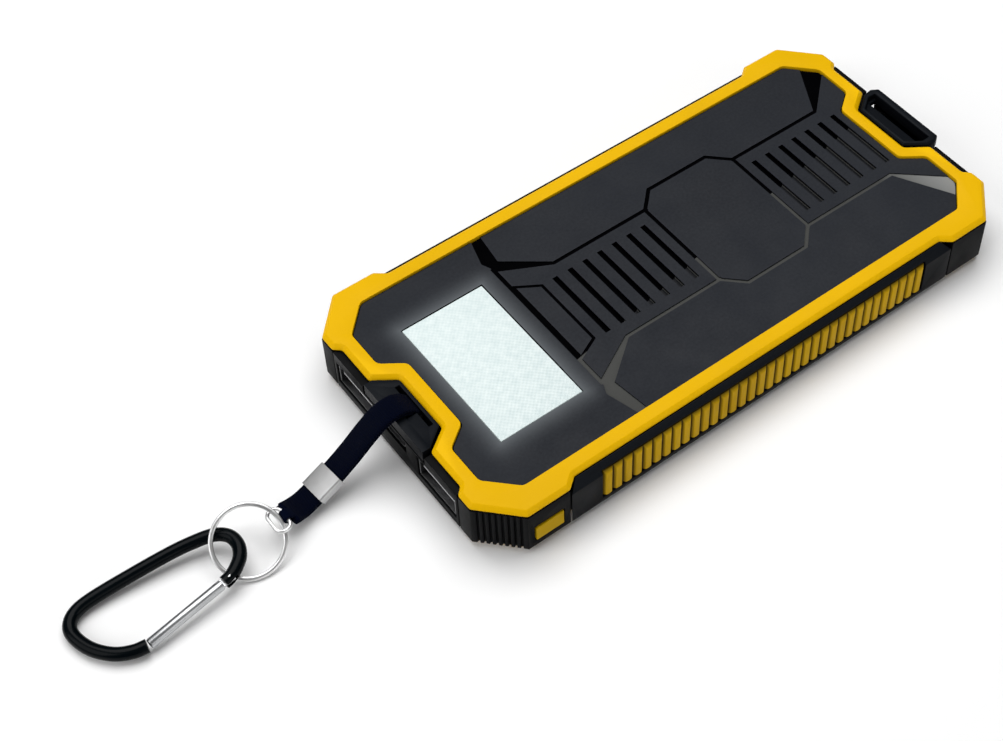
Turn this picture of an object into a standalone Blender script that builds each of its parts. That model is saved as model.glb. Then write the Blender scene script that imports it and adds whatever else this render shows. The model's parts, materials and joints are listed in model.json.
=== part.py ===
"""A solar phone charger: a power bank with a solar panel underneath, a light panel on top and a clip strap.

The body lies on its solar side. +X runs from the port end to the hanging-loop end, -Y is the side with the
power button and +Z is the light side. Lengths below are in millimetres, and MM turns them into metres.
"""

import math

import bmesh
import bpy
from mathutils import Matrix, Vector

MM = 0.001

# Body
HALF_LENGTH = 71.2
HALF_WIDTH = 35.2
HEIGHT = 14.0
SKIRT = 1.4  # the rubber skirt ends this far above the table
LOOP_REACH = 2.2  # how far the hanging loop stands out past the body
GAP = 0.3  # clearance between neighbouring pieces
BODY_OFFSET = -LOOP_REACH / 2  # centres the body and its loop on the origin

# Levels, bottom to top
GLASS_LOW, GLASS_HIGH = 0.4, 1.1
CELL_LOW, CELL_HIGH = 1.15, 1.35
BACKSHEET_LOW, BACKSHEET_HIGH = 1.4, 1.95
TRAY_LOW, TRAY_HIGH = 2.1, 3.1
BOARD_LOW, BOARD_HIGH = 5.6, 6.4
SHELF = 9.6  # roof of the port bay in the mid frame
SEAT = 10.4  # ledge that the light cover's seal lies on
COVER_LOW, COVER_FLANGE, COVER_HIGH = 11.2, 12.5, 13.4
BEZEL_LOW = 12.8

# The pattern on the light cover
GROOVE_DEPTH, GROOVE_HALF = 0.3, 0.45
PATTERN_Y = 0.6  # the pattern sits this far towards +Y
SLOT_COUNT, SLOT_PITCH, SLOT_HALF_WIDTH, SLOT_HALF, SLOT_DEPTH = 7, 4.05, 0.65, 9.4, 1.0
SLOT_STARTS = (-22.8, 34.05)
OCTAGON_X = 17.8

# Outer pieces
RAIL_INNER, RAIL_OUTER, RAIL_HALF, RAIL_SLANT = 33.45, 35.3, 52.7, 2.3
RAIL_TOP, RAIL_SHOULDER = 13.0, 10.9  # the top of the rail slopes down to its outer face between these heights
GRIP_HALF, GRIP_LOW, GRIP_HIGH, GRIP_RIBS = 44.6, 3.1, 11.3, 35
BUMPER_INNER, BUMPER_START = 33.2, 53.0
FRAME_X, FRAME_Y, FRAME_CHAMFER = 69.1, 32.9, 7.0
PLATE_INNER, PLATE_HALF = 69.4, 22.5
POCKET_LOW = 10.3  # floor of the pockets that hold the strap anchor and the hanging loop

# Ports, button and light
USB_Y, USB_Z, USB_WIDTH, USB_TALL, USB_DEEP, USB_WALL = 14.9, 6.7, 12.9, 5.6, 13.4, 0.4
MICRO_Z, MICRO_WIDTH, MICRO_TALL, MICRO_DEEP, MICRO_WALL = 7.95, 7.6, 2.7, 6.6, 0.3
PORT_FRONT = -HALF_LENGTH + 0.2  # the sockets' mouths stand just inside the end face
BUTTON_X, BUTTON_Z, BUTTON_WIDTH, BUTTON_TALL = -58.2, 5.6, 6.8, 4.2
STEM_X = -56.6  # the button's stem and the switch behind it sit off centre, clear of a screw post
LIGHT_LEFT, LIGHT_RIGHT, LIGHT_HALF = -57.3, -36.4, 18.0
PANEL_X, PANEL_Y, PANEL_CHAMFER = 60.0, 27.0, 6.0
POST_X, POST_Y, POST_RADIUS = 61.2, 24.4, 2.0
GUIDE_X, GUIDE_PITCH, GUIDE_RADIUS = -61.45, 3.4, 0.7
WIRE_RADIUS = 0.6

# Strap, ring and carabiner
STRAP_WIDTH, STRAP_THICK, STRAP_Y = 5.6, 1.6, 1.2  # STRAP_Y is where the strap leaves the body
STRAP_POINTS = [
    (-65.5, 1.2, 11.7),
    (-66.4, 1.2, 12.8),
    (-67.5, 1.2, 14.0),
    (-69.2, 1.2, 15.0),
    (-71.4, 1.2, 15.2),
    (-74.0, 1.3, 14.2),
    (-77.0, 1.5, 11.7),
    (-80.2, 1.7, 8.7),
    (-83.2, 1.8, 6.3),
    (-85.6, 1.7, 4.9),
    (-88.2, 1.5, 3.8),
    (-90.8, 1.2, 2.9),
    (-93.6, 0.6, 2.7),
    (-95.9, -0.1, 3.5),
    (-97.6, -0.9, 4.8),
]
CRIMP_START, CRIMP_END = Vector((-85.3, 1.72, 5.05)), Vector((-90.6, 1.22, 2.97))
RING_CENTRE = Vector((-107.0, -1.4, 4.45))
RING_RADIUS, RING_WIRE = 7.3, 0.5
RING_NORMAL = Vector((-0.13, -0.5, 0.856)).normalized()
EYELET_CENTRE = Vector((-99.95, -1.4, 5.3))
EYELET_X, EYELET_Y, EYELET_WIRE = 1.6, 2.9, 0.4
CARABINER_ROD, GATE_ROD = 1.4, 1.1
CARABINER_TIP = Vector((-108.9, -0.3, 4.05))  # the bow that the ring holds
CARABINER_PITCH = math.radians(4.35)  # the ring's wire lifts that bow a little
GATE_HINGE = (-6.4, -5.8)  # from the tip, in the carabiner's own plane
GATE_NOSE = (-24.6, -8.0)

COLOURS = {
    "yellow_plastic": ((0.93, 0.50, 0.004), 0.45, 0.0),
    "ribbed_yellow": ((0.55, 0.33, 0.01), 0.5, 0.0),
    "black_plastic": ((0.025, 0.026, 0.035), 0.45, 0.0),
    "black_rubber": ((0.006, 0.006, 0.008), 0.6, 0.0),
    "white_diffuser": ((0.85, 0.93, 0.90), 0.35, 0.0),
    "bright_metal": ((0.75, 0.75, 0.74), 0.25, 1.0),
    "black_anodised": ((0.008, 0.014, 0.018), 0.3, 0.6),
    "webbing": ((0.004, 0.006, 0.016), 0.85, 0.0),
    "clear_resin": ((0.35, 0.40, 0.45), 0.08, 0.0),
    "silicon": ((0.01, 0.015, 0.05), 0.3, 0.2),
    "circuit_board": ((0.01, 0.12, 0.05), 0.4, 0.0),
    "cell_foil": ((0.62, 0.63, 0.65), 0.35, 0.7),
    "red_wire": ((0.5, 0.01, 0.01), 0.4, 0.0),
    "black_wire": ((0.01, 0.01, 0.01), 0.4, 0.0),
    "seal_rubber": ((0.03, 0.03, 0.03), 0.8, 0.0),
    "component": ((0.05, 0.05, 0.055), 0.5, 0.0),
}


# ---------------------------------------------------------------- outlines


def four_way(quarter):
    """A closed outline, anticlockwise, from its first-quadrant points listed from +X round to +Y."""
    back = quarter[::-1]
    return (
        list(quarter)
        + [(-x, y) for x, y in back]
        + [(-x, -y) for x, y in quarter]
        + [(x, -y) for x, y in back]
    )


def chamfered(half_x, half_y, cut):
    return four_way([(half_x, half_y - cut), (half_x - cut, half_y)])


def rectangle(x0, x1, y0, y1):
    return [(x0, y0), (x1, y0), (x1, y1), (x0, y1)]


def grown(outline, distance):
    """The outline moved outwards by distance, with mitred corners."""
    points = [Vector(p) for p in outline]
    moved = []
    for before, here, after in zip(points[-1:] + points[:-1], points, points[1:] + points[:1]):
        first = (here - before).normalized()
        second = (after - here).normalized()
        mitre = Vector((first.y + second.y, -first.x - second.x))
        moved.append(tuple(here + mitre * (distance / (1 + first.dot(second)))))
    return moved


def softened(outline, radius, steps=3):
    """The outline with each corner turned into a short arc."""
    points = [Vector(p) for p in outline]
    made = []
    for before, here, after in zip(points[-1:] + points[:-1], points, points[1:] + points[:1]):
        into, out = before - here, after - here
        half = (math.pi - into.angle(out)) / 2
        reach = min(radius * math.tan(half), 0.4 * into.length, 0.4 * out.length)
        start = here + into.normalized() * reach
        end = here + out.normalized() * reach
        for step in range(steps + 1):
            t = step / steps
            made.append(tuple((1 - t) ** 2 * start + 2 * t * (1 - t) * here + t**2 * end))
    return made


# The light side's frame: a notch in each end, wide corners, and long sides that step in for the rails.
OUTER = four_way(
    [
        (64.5, 7.7),
        (69.6, 11.3),
        (69.6, 21.4),
        (71.2, 22.9),
        (71.2, 26.8),
        (63.3, 35.2),
        (53.0, 35.2),
        (50.5, 33.2),
    ]
)
INNER = four_way([(61.0, 9.6), (66.2, 13.4), (66.2, 23.0), (60.0, 29.35)])


# ---------------------------------------------------------------- making pieces


def clear_scene():
    for obj in list(bpy.data.objects):
        bpy.data.objects.remove(obj, do_unlink=True)


def make_material(name):
    colour, roughness, metallic = COLOURS[name]
    material = bpy.data.materials.new(name)
    material.use_nodes = True
    shader = material.node_tree.nodes["Principled BSDF"]
    shader.inputs["Base Color"].default_value = (*colour, 1.0)
    shader.inputs["Roughness"].default_value = roughness
    shader.inputs["Metallic"].default_value = metallic
    material.diffuse_color = (*colour, 1.0)
    return material


def place(name, data, origin):
    """An object that holds data, with its own origin at origin (millimetres), under the charger's empty."""
    obj = bpy.data.objects.new(name, data)
    bpy.context.scene.collection.objects.link(obj)
    obj.parent = ROOT
    obj.location = Vector(origin) * MM
    return obj


def piece(name, shape, material, origin=(0, 0, 0), smooth=False):
    """Turns a bmesh drawn in millimetres into a named object of the charger."""
    bmesh.ops.recalc_face_normals(shape, faces=shape.faces)
    matrix = Matrix.Scale(MM, 4) @ Matrix.Translation(-Vector(origin))
    bmesh.ops.transform(shape, matrix=matrix, verts=shape.verts)
    mesh = bpy.data.meshes.new(name)
    shape.to_mesh(mesh)
    shape.free()
    if smooth:
        mesh.shade_smooth()
        mesh.set_sharp_from_angle(angle=math.radians(35))
    mesh.materials.append(MATERIALS[material])
    return place(name, mesh, origin)


def carve(target, shape, operation="DIFFERENCE"):
    """Cuts shape out of target, or joins it on, with a Boolean whose second object stays hidden."""
    index = len(target.modifiers)
    bmesh.ops.recalc_face_normals(shape, faces=shape.faces)
    bmesh.ops.scale(shape, vec=(MM, MM, MM), verts=shape.verts)
    mesh = bpy.data.meshes.new(f"{target.name}_tool")
    shape.to_mesh(mesh)
    shape.free()
    tool = place(f"{target.name}_tool_{index}", mesh, (0, 0, 0))
    tool.hide_render = True
    tool.display_type = "WIRE"
    modifier = target.modifiers.new(f"{operation.lower()}_{index}", "BOOLEAN")
    modifier.operation = operation
    modifier.object = tool
    modifier.solver = "EXACT"


def add_prism(shape, outline, low, high, top_bevel=0.0, bottom_bevel=0.0):
    """Adds the outline raised from low to high, with its rims bevelled by moving them inwards."""
    rings = [(low, -bottom_bevel)]
    if bottom_bevel:
        rings.append((low + bottom_bevel, 0.0))
    if top_bevel:
        rings.append((high - top_bevel, 0.0))
    rings.append((high, -top_bevel))
    loops = [[shape.verts.new((x, y, z)) for x, y in grown(outline, shift)] for z, shift in rings]
    count = len(outline)
    for lower, upper in zip(loops, loops[1:]):
        for i in range(count):
            j = (i + 1) % count
            shape.faces.new((lower[i], lower[j], upper[j], upper[i]))
    shape.faces.new(loops[-1])
    shape.faces.new(loops[0][::-1])


def prism(outline, low, high, top_bevel=0.0, bottom_bevel=0.0):
    shape = bmesh.new()
    add_prism(shape, outline, low, high, top_bevel, bottom_bevel)
    return shape


def block(x0, x1, y0, y1, z0, z1):
    return prism(rectangle(x0, x1, y0, y1), z0, z1)


def blocks(*boxes):
    """Several boxes that don't touch, in one shape."""
    shape = bmesh.new()
    for x0, x1, y0, y1, z0, z1 in boxes:
        add_prism(shape, rectangle(x0, x1, y0, y1), z0, z1)
    return shape


def ring_prism(outer, inner, low, high):
    """A flat ring between two outlines with the same number of points."""
    shape = bmesh.new()
    corners = [
        [shape.verts.new((x, y, z)) for x, y in outline]
        for outline, z in ((outer, low), (outer, high), (inner, high), (inner, low))
    ]
    count = len(outer)
    for first, second in zip(corners, corners[1:] + corners[:1]):
        for i in range(count):
            j = (i + 1) % count
            shape.faces.new((first[i], first[j], second[j], second[i]))
    return shape


def rod(start, end, radius, sides=12):
    """A cylinder between two points."""
    start, end = Vector(start), Vector(end)
    shape = bmesh.new()
    turn = (end - start).to_track_quat("Z", "Y").to_matrix().to_4x4()
    matrix = Matrix.Translation((start + end) / 2) @ turn
    bmesh.ops.create_cone(
        shape,
        cap_ends=True,
        segments=sides,
        radius1=radius,
        radius2=radius,
        depth=(end - start).length,
        matrix=matrix,
    )
    return shape


def turned(middle, profile, sides):
    """A closed solid of revolution about an upright axis, from (radius, z) pairs listed upwards."""
    shape = bmesh.new()
    loops = []
    for radius, z in profile:
        loops.append([shape.verts.new((middle[0] + x, middle[1] + y, z)) for x, y in circle(radius, sides)])
    for lower, upper in zip(loops, loops[1:]):
        for i in range(sides):
            j = (i + 1) % sides
            shape.faces.new((lower[i], lower[j], upper[j], upper[i]))
    shape.faces.new(loops[0][::-1])
    shape.faces.new(loops[-1])
    return shape


def smooth_route(points, per_span):
    """Points read from a Catmull-Rom curve through the given points."""
    points = [Vector(p) for p in points]
    padded = [2 * points[0] - points[1]] + points + [2 * points[-1] - points[-2]]
    route = []
    for a, b, c, d in zip(padded, padded[1:], padded[2:], padded[3:]):
        for step in range(per_span):
            t = step / per_span
            bend = (2 * a - 5 * b + 4 * c - d) * t**2 + (3 * b - a - 3 * c + d) * t**3
            route.append(0.5 * (2 * b + (c - a) * t + bend))
    return route + [points[-1]]


def swept(route, section, closed=False, side=Vector((0, 1, 0))):
    """A solid that carries a flat section (points across, points up) along a route, keeping one side level."""
    shape = bmesh.new()
    count = len(route)
    loops = []
    for i, here in enumerate(route):
        before = route[i - 1] if closed or i else here
        after = route[(i + 1) % count] if closed or i + 1 < count else here
        along = (after - before).normalized()
        up = along.cross(side).normalized()
        across = up.cross(along)
        loops.append([shape.verts.new(here + across * a + up * b) for a, b in section])
    pairs = list(zip(loops, loops[1:]))
    if closed:
        pairs.append((loops[-1], loops[0]))
    for first, second in pairs:
        for i in range(len(section)):
            j = (i + 1) % len(section)
            shape.faces.new((first[i], first[j], second[j], second[i]))
    if not closed:
        shape.faces.new(loops[0][::-1])
        shape.faces.new(loops[-1])
    return shape


def circle(radius, sides):
    angles = [2 * math.pi * k / sides for k in range(sides)]
    return [(radius * math.cos(angle), radius * math.sin(angle)) for angle in angles]


def wire(name, points, radius, material):
    """An insulated lead: a bevelled curve with filled caps along a smooth route."""
    curve = bpy.data.curves.new(name, "CURVE")
    curve.dimensions = "3D"
    curve.bevel_depth = radius * MM
    curve.bevel_resolution = 1
    curve.use_fill_caps = True
    route = smooth_route(points, 3)
    spline = curve.splines.new("POLY")
    spline.points.add(len(route) - 1)
    for point, where in zip(spline.points, route):
        point.co = (*(where * MM), 1.0)
    curve.materials.append(MATERIALS[material])
    return place(name, curve, (0, 0, 0))


# ---------------------------------------------------------------- light side


def mirrored(outline):
    return [(x, -y) for x, y in outline][::-1]


def light_cover():
    cover = piece("light_cover", prism(grown(INNER, 0.9), COVER_LOW, COVER_FLANGE), "black_plastic")
    carve(cover, prism(softened(grown(INNER, -0.25), 1.8), COVER_LOW + 0.4, COVER_HIGH), "UNION")
    window = rectangle(LIGHT_LEFT, LIGHT_RIGHT, -LIGHT_HALF, LIGHT_HALF)
    carve(cover, prism(window, COVER_LOW - 1, COVER_HIGH + 1))

    # Vent slots on each side of the octagon
    slots = bmesh.new()
    for first in SLOT_STARTS:
        for k in range(SLOT_COUNT):
            left = first + SLOT_PITCH * k - SLOT_HALF_WIDTH
            right = left + 2 * SLOT_HALF_WIDTH
            outline = rectangle(left, right, PATTERN_Y - SLOT_HALF, PATTERN_Y + SLOT_HALF)
            add_prism(slots, outline, COVER_HIGH - SLOT_DEPTH, COVER_HIGH + 1)
    carve(cover, slots)

    # The octagon, and the lines that run from it and widen towards the edges
    floor = COVER_HIGH - GROOVE_DEPTH
    octagon = [(OCTAGON_X + x, PATTERN_Y + y) for x, y in four_way([(12.9, 12.7), (8.3, 17.2)])]
    carve(cover, ring_prism(grown(octagon, GROOVE_HALF), grown(octagon, -GROOVE_HALF), floor, COVER_HIGH + 1))
    to_corner = [(30.2, 12.35), (56.2, 12.35), (66.9, 22.0), (63.4, 26.6), (56.0, 13.25), (30.2, 13.25)]
    to_side = [
        (5.6, 13.25),
        (-20.4, 13.25),
        (-29.9, 20.6),
        (-28.6, 30.4),
        (-30.8, 30.4),
        (-33.2, 22.0),
        (-31.6, 18.2),
        (-20.6, 12.35),
        (5.6, 12.35),
    ]
    lines = bmesh.new()
    for outline in (to_corner, to_side, mirrored(to_corner), mirrored(to_side)):
        add_prism(lines, [(x, PATTERN_Y + y) for x, y in outline], floor, COVER_HIGH + 1)
    carve(cover, lines)

    # The long groove beside the light, with a low panel that stands against it
    carve(cover, block(-32.6, -31.6, -19.0, 20.2, floor, COVER_HIGH + 1))
    low_panel = [(-31.9, -11.4), (-26.0, -8.6), (-26.0, 10.0), (-31.9, 13.8)]
    carve(cover, ring_prism(low_panel, grown(low_panel, -0.7), floor, COVER_HIGH + 1))

    # Four posts hang down to take the screws.
    for side_x in (-1, 1):
        for side_y in (-1, 1):
            x, y = side_x * POST_X, side_y * POST_Y
            carve(cover, rod((x, y, TRAY_HIGH + 0.4), (x, y, COVER_LOW + 0.4), POST_RADIUS), "UNION")
            carve(cover, rod((x, y, TRAY_HIGH), (x, y, 9.2), 1.0))


def upper_bezel():
    frame = prism(softened(OUTER, 1.1), BEZEL_LOW, HEIGHT, top_bevel=0.9)
    bezel = piece("upper_bezel", frame, "yellow_plastic")
    carve(bezel, prism(softened(INNER, 1.9), BEZEL_LOW - 1, HEIGHT + 1))


def light():
    window = rectangle(LIGHT_LEFT, LIGHT_RIGHT, -LIGHT_HALF, LIGHT_HALF)
    lens = piece("light_lens", prism(grown(window, -0.2), 10.5, COVER_HIGH - 0.1), "white_diffuser")
    carve(lens, prism(grown(window, 1.2), 10.4, 10.95), "UNION")
    outer = grown(window, 1.0)
    piece("light_reflector", ring_prism(outer, grown(outer, -1.0), 9.6, 10.25), "white_diffuser")

    board = piece("led_board", prism(window, 8.4, 9.1), "circuit_board")
    lamps = bmesh.new()
    for column in range(4):
        for row in range(6):
            x = LIGHT_LEFT + 3.5 + column * 4.6
            y = -14.0 + row * 5.6
            add_prism(lamps, rectangle(x - 0.8, x + 0.8, y - 0.8, y + 0.8), 9.0, 9.8)
    carve(board, lamps, "UNION")


# ---------------------------------------------------------------- body


def mid_frame():
    outline = chamfered(FRAME_X, FRAME_Y, FRAME_CHAMFER)
    frame = piece("mid_frame", prism(outline, SKIRT - 0.1, COVER_FLANGE), "black_plastic")
    carve(frame, prism(grown(INNER, 1.2), SEAT, COVER_FLANGE + 1))
    carve(frame, prism(grown(INNER, 0.2), SHELF - 0.1, SEAT + 0.1))
    carve(frame, prism(chamfered(66.4, 29.55, 6.3), TRAY_HIGH + 0.6, SHELF))
    carve(frame, prism(chamfered(67.1, 30.25, 6.5), SKIRT - 1, TRAY_HIGH + 0.7))
    notch = [(64.2, -7.6), (69.0, -11.2), (74.0, -11.2), (74.0, 11.2), (69.0, 11.2), (64.2, 7.6)]
    for side in (-1, 1):
        carve(frame, prism([(side * x, y) for x, y in notch], POCKET_LOW, COVER_FLANGE + 1))
    half = USB_WIDTH / 2 + GAP
    low, high = USB_Z - USB_TALL / 2 - GAP, USB_Z + USB_TALL / 2 + GAP
    micro = MICRO_WIDTH / 2 + GAP
    carve(
        frame,
        blocks(
            (-72, -65, USB_Y - half, USB_Y + half, low, high),
            (-72, -65, -USB_Y - half, -USB_Y + half, low, high),
            (-72, -65, -micro, micro, MICRO_Z - MICRO_TALL / 2 - GAP, MICRO_Z + MICRO_TALL / 2 + GAP),
        ),
    )
    # The button's flange slides in a pocket, and its stem goes through to the switch.
    carve(
        frame,
        block(
            BUTTON_X - BUTTON_WIDTH / 2 - 0.8,
            BUTTON_X + BUTTON_WIDTH / 2 + 0.8,
            -FRAME_Y - 1,
            -31.1,
            BUTTON_Z - BUTTON_TALL / 2 - 0.8,
            BUTTON_Z + BUTTON_TALL / 2 + 0.8,
        ),
    )
    carve(frame, rod((STEM_X, -32, BUTTON_Z), (STEM_X, -29, BUTTON_Z), 1.5))


def bumper_outline():
    """A corner block in the first quadrant, with upright grooves in its slanting face."""
    start, end = Vector((HALF_LENGTH + 0.1, 26.85)), Vector((63.35, HALF_WIDTH + 0.1))
    along = (end - start).normalized()
    inward = Vector((-along.y, along.x))
    pitch, width, depth, grooves = 1.25, 0.55, 0.5, 8
    first = (end - start).length / 2 - pitch * (grooves - 1) / 2
    face = [tuple(start)]
    for k in range(grooves):
        middle = start + along * (first + pitch * k)
        face.append(tuple(middle - along * width / 2))
        face.append(tuple(middle - along * width / 4 + inward * depth))
        face.append(tuple(middle + along * width / 4 + inward * depth))
        face.append(tuple(middle + along * width / 2))
    face.append(tuple(end))
    return (
        [(HALF_LENGTH + 0.1, PLATE_HALF + GAP)]
        + face
        + [(BUMPER_START, HALF_WIDTH + 0.1), (BUMPER_START, BUMPER_INNER)]
        + [(62.4, BUMPER_INNER), (PLATE_INNER, 26.1), (PLATE_INNER, PLATE_HALF + GAP)]
    )


def corner_bumpers():
    outline = bumper_outline()
    places = {
        "corner_bumper_loop_far": (1, 1),
        "corner_bumper_port_far": (-1, 1),
        "corner_bumper_port_near": (-1, -1),
        "corner_bumper_loop_near": (1, -1),
    }
    for name, (side_x, side_y) in places.items():
        points = [(side_x * x, side_y * y) for x, y in outline]
        if side_x * side_y < 0:
            points.reverse()
        bumper = piece(name, prism(points, SKIRT, COVER_FLANGE), "black_rubber")
        if (side_x, side_y) == (-1, -1):
            half_x, half_z = BUTTON_WIDTH / 2 + 0.25, BUTTON_TALL / 2 + 0.25
            hole = block(BUTTON_X - half_x, BUTTON_X + half_x, -37, -32, BUTTON_Z - half_z, BUTTON_Z + half_z)
            carve(bumper, hole)


def along_x(profile, side, reach):
    """A shape drawn as (distance from the middle, height) on one side of the body and carried along X."""
    shape = bmesh.new()
    ends = [[shape.verts.new((x, side * y, z)) for y, z in profile] for x in (-reach, reach)]
    shape.faces.new(ends[0])
    shape.faces.new(ends[1][::-1])
    for i in range(len(profile)):
        j = (i + 1) % len(profile)
        shape.faces.new((ends[0][i], ends[1][i], ends[1][j], ends[0][j]))
    return shape


def side_rails():
    run = (RAIL_TOP - RAIL_SHOULDER) / (RAIL_OUTER - RAIL_INNER - 0.25)
    for name, side in (("side_rail_near", -1), ("side_rail_far", 1)):
        outline = [
            (-RAIL_HALF, side * RAIL_OUTER),
            (-RAIL_HALF + RAIL_SLANT, side * RAIL_INNER),
            (RAIL_HALF - RAIL_SLANT, side * RAIL_INNER),
            (RAIL_HALF, side * RAIL_OUTER),
        ]
        if side < 0:
            outline.reverse()
        rail = piece(name, prism(outline, SKIRT, RAIL_TOP), "black_plastic")
        # The top edge slopes down to the outer face.
        outside, inside = RAIL_OUTER + 1, RAIL_INNER - 0.5
        profile = [
            (outside, RAIL_SHOULDER - run),
            (outside, HEIGHT + 1),
            (inside, HEIGHT + 1),
            (inside, RAIL_SHOULDER + run * (RAIL_OUTER - inside)),
        ]
        carve(rail, along_x(profile, side, 60))
        near, far = sorted((side * 34.0, side * 36.0))
        carve(rail, block(-GRIP_HALF - GAP, GRIP_HALF + GAP, near, far, GRIP_LOW - GAP, GRIP_HIGH + GAP))


def grip_strips():
    pitch = 2 * GRIP_HALF / GRIP_RIBS
    back, valley, crest = 34.3, 34.75, 35.5
    for name, side in (("grip_strip_near", -1), ("grip_strip_far", 1)):
        outline = [(-GRIP_HALF, back)]
        for k in range(GRIP_RIBS):
            left = -GRIP_HALF + k * pitch
            outline += [
                (left, valley),
                (left + 0.22 * pitch, crest - 0.1),
                (left + 0.5 * pitch, crest),
                (left + 0.78 * pitch, crest - 0.1),
            ]
        outline += [(GRIP_HALF, valley), (GRIP_HALF, back)]
        points = [(x, side * y) for x, y in outline]
        if side > 0:
            points.reverse()
        strip = piece(name, prism(points, GRIP_LOW, GRIP_HIGH), "ribbed_yellow")
        # The ribs' upper ends are cut back so that they stay below the rail's slope.
        carve(strip, along_x([(36.5, 8.4), (36.5, 13.0), (34.0, 13.0)], side, 60))


def end_plates():
    plate = piece(
        "port_plate",
        block(-HALF_LENGTH - 0.1, -PLATE_INNER, -PLATE_HALF, PLATE_HALF, SKIRT, COVER_FLANGE),
        "black_rubber",
    )
    half, tall = USB_WIDTH / 2 + GAP, USB_TALL / 2 + GAP
    carve(
        plate,
        blocks(
            (-73, -68, USB_Y - half, USB_Y + half, USB_Z - tall, USB_Z + tall),
            (-73, -68, -USB_Y - half, -USB_Y + half, USB_Z - tall, USB_Z + tall),
            (-73, -68, -MICRO_WIDTH / 2 - GAP, MICRO_WIDTH / 2 + GAP, MICRO_Z - 1.65, MICRO_Z + 1.65),
        ),
    )
    carve(plate, block(-73, -68, -11.2, 11.2, POCKET_LOW, COVER_FLANGE + 1))

    plate = piece(
        "end_plate",
        block(PLATE_INNER, HALF_LENGTH + 0.1, -PLATE_HALF, PLATE_HALF, SKIRT, COVER_FLANGE),
        "black_rubber",
    )
    carve(plate, block(68, 73, -11.5, 11.5, 5.5, COVER_FLANGE + 1))


def strap_anchor():
    outline = [(-64.8, 7.2), (-69.3, 10.6), (-71.2, 10.6), (-71.2, -10.6), (-69.3, -10.6), (-64.8, -7.2)]
    anchor = piece("strap_anchor", prism(outline, POCKET_LOW + GAP, HEIGHT - 0.3), "black_plastic")
    # A narrow slot runs along the body's edge, and opens into a ramp where the strap comes up out of it.
    carve(anchor, block(-66.6, -65.5, -6.2, 6.2, POCKET_LOW - 1, HEIGHT + 1))
    ramp = bmesh.new()
    profile = [(-63.9, 11.1), (-65.9, 10.1), (-69.9, 14.6), (-66.8, 15.6)]
    low, high = STRAP_Y - STRAP_WIDTH / 2 - GAP, STRAP_Y + STRAP_WIDTH / 2 + GAP
    ends = [[ramp.verts.new((x, y, z)) for x, z in profile] for y in (low, high)]
    ramp.faces.new(ends[0])
    ramp.faces.new(ends[1][::-1])
    for i in range(4):
        j = (i + 1) % 4
        ramp.faces.new((ends[0][i], ends[1][i], ends[1][j], ends[0][j]))
    carve(anchor, ramp)


def hanging_loop():
    outer = HALF_LENGTH + LOOP_REACH
    outline = [
        (64.8, -7.2),
        (69.3, -10.6),
        (71.6, -10.9),
        (outer, -9.8),
        (outer, 9.8),
        (71.6, 10.9),
        (69.3, 10.6),
        (64.8, 7.2),
    ]
    loop = piece("hanging_loop", prism(outline, POCKET_LOW + GAP, HEIGHT - 0.3, top_bevel=0.5), "black_plastic")
    # The bar reaches down past the end plate's cut, which leaves a slit for a cord under it.
    carve(loop, block(71.45, outer, -9.0, 9.0, 7.6, POCKET_LOW + 0.6), "UNION")
    # A hollow with sloping ends lies inside the bar, and its outer part goes right through.
    hollow = [(65.9, -6.6), (69.2, -9.0), (71.3, -9.0), (71.3, 9.0), (69.2, 9.0), (65.9, 6.6)]
    carve(loop, prism(hollow, 12.0, HEIGHT + 1))
    carve(loop, block(69.2, 71.3, -8.4, 8.4, POCKET_LOW - 1, HEIGHT + 1))


# ---------------------------------------------------------------- solar side


def solar_side():
    bezel = piece("lower_bezel", prism(grown(OUTER, -1.6), 0.0, 1.0, bottom_bevel=0.4), "yellow_plastic")
    carve(bezel, prism(chamfered(66.7, 29.85, 6.4), 0.5, 1.9), "UNION")
    carve(bezel, prism(chamfered(PANEL_X, PANEL_Y, PANEL_CHAMFER), -1, 3))

    window = grown(chamfered(PANEL_X, PANEL_Y, PANEL_CHAMFER), -GAP)
    piece("panel_glass", prism(window, GLASS_LOW, GLASS_HIGH), "clear_resin")
    piece("panel_backsheet", prism(window, BACKSHEET_LOW, BACKSHEET_HIGH), "circuit_board")
    for name, side in (("solar_string_near", -1), ("solar_string_far", 1)):
        piece(name, solar_string(side), "silicon")

    tray = piece("solar_tray", prism(chamfered(66.8, 29.95, 6.5), TRAY_LOW, TRAY_HIGH), "black_plastic")
    for side_x in (-1, 1):
        for side_y in (-1, 1):
            middle = (side_x * POST_X, side_y * POST_Y)
            carve(tray, turned(middle, [(2.05, TRAY_LOW - 0.1), (0.95, TRAY_HIGH + 0.1)], 12))
    holes = guide_holes()
    add_prism(holes, rectangle(-42, -38, 18, 23), 0, 5)
    carve(tray, holes)
    carve(bezel, guide_holes())


def guide_holes():
    """A row of holes for the pegs of the indicator's light guide."""
    holes = bmesh.new()
    for k in range(-2, 3):
        outline = [(GUIDE_X + x, k * GUIDE_PITCH + y) for x, y in circle(GUIDE_RADIUS + 0.2, 10)]
        add_prism(holes, outline, -1, 5)
    return holes


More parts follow.
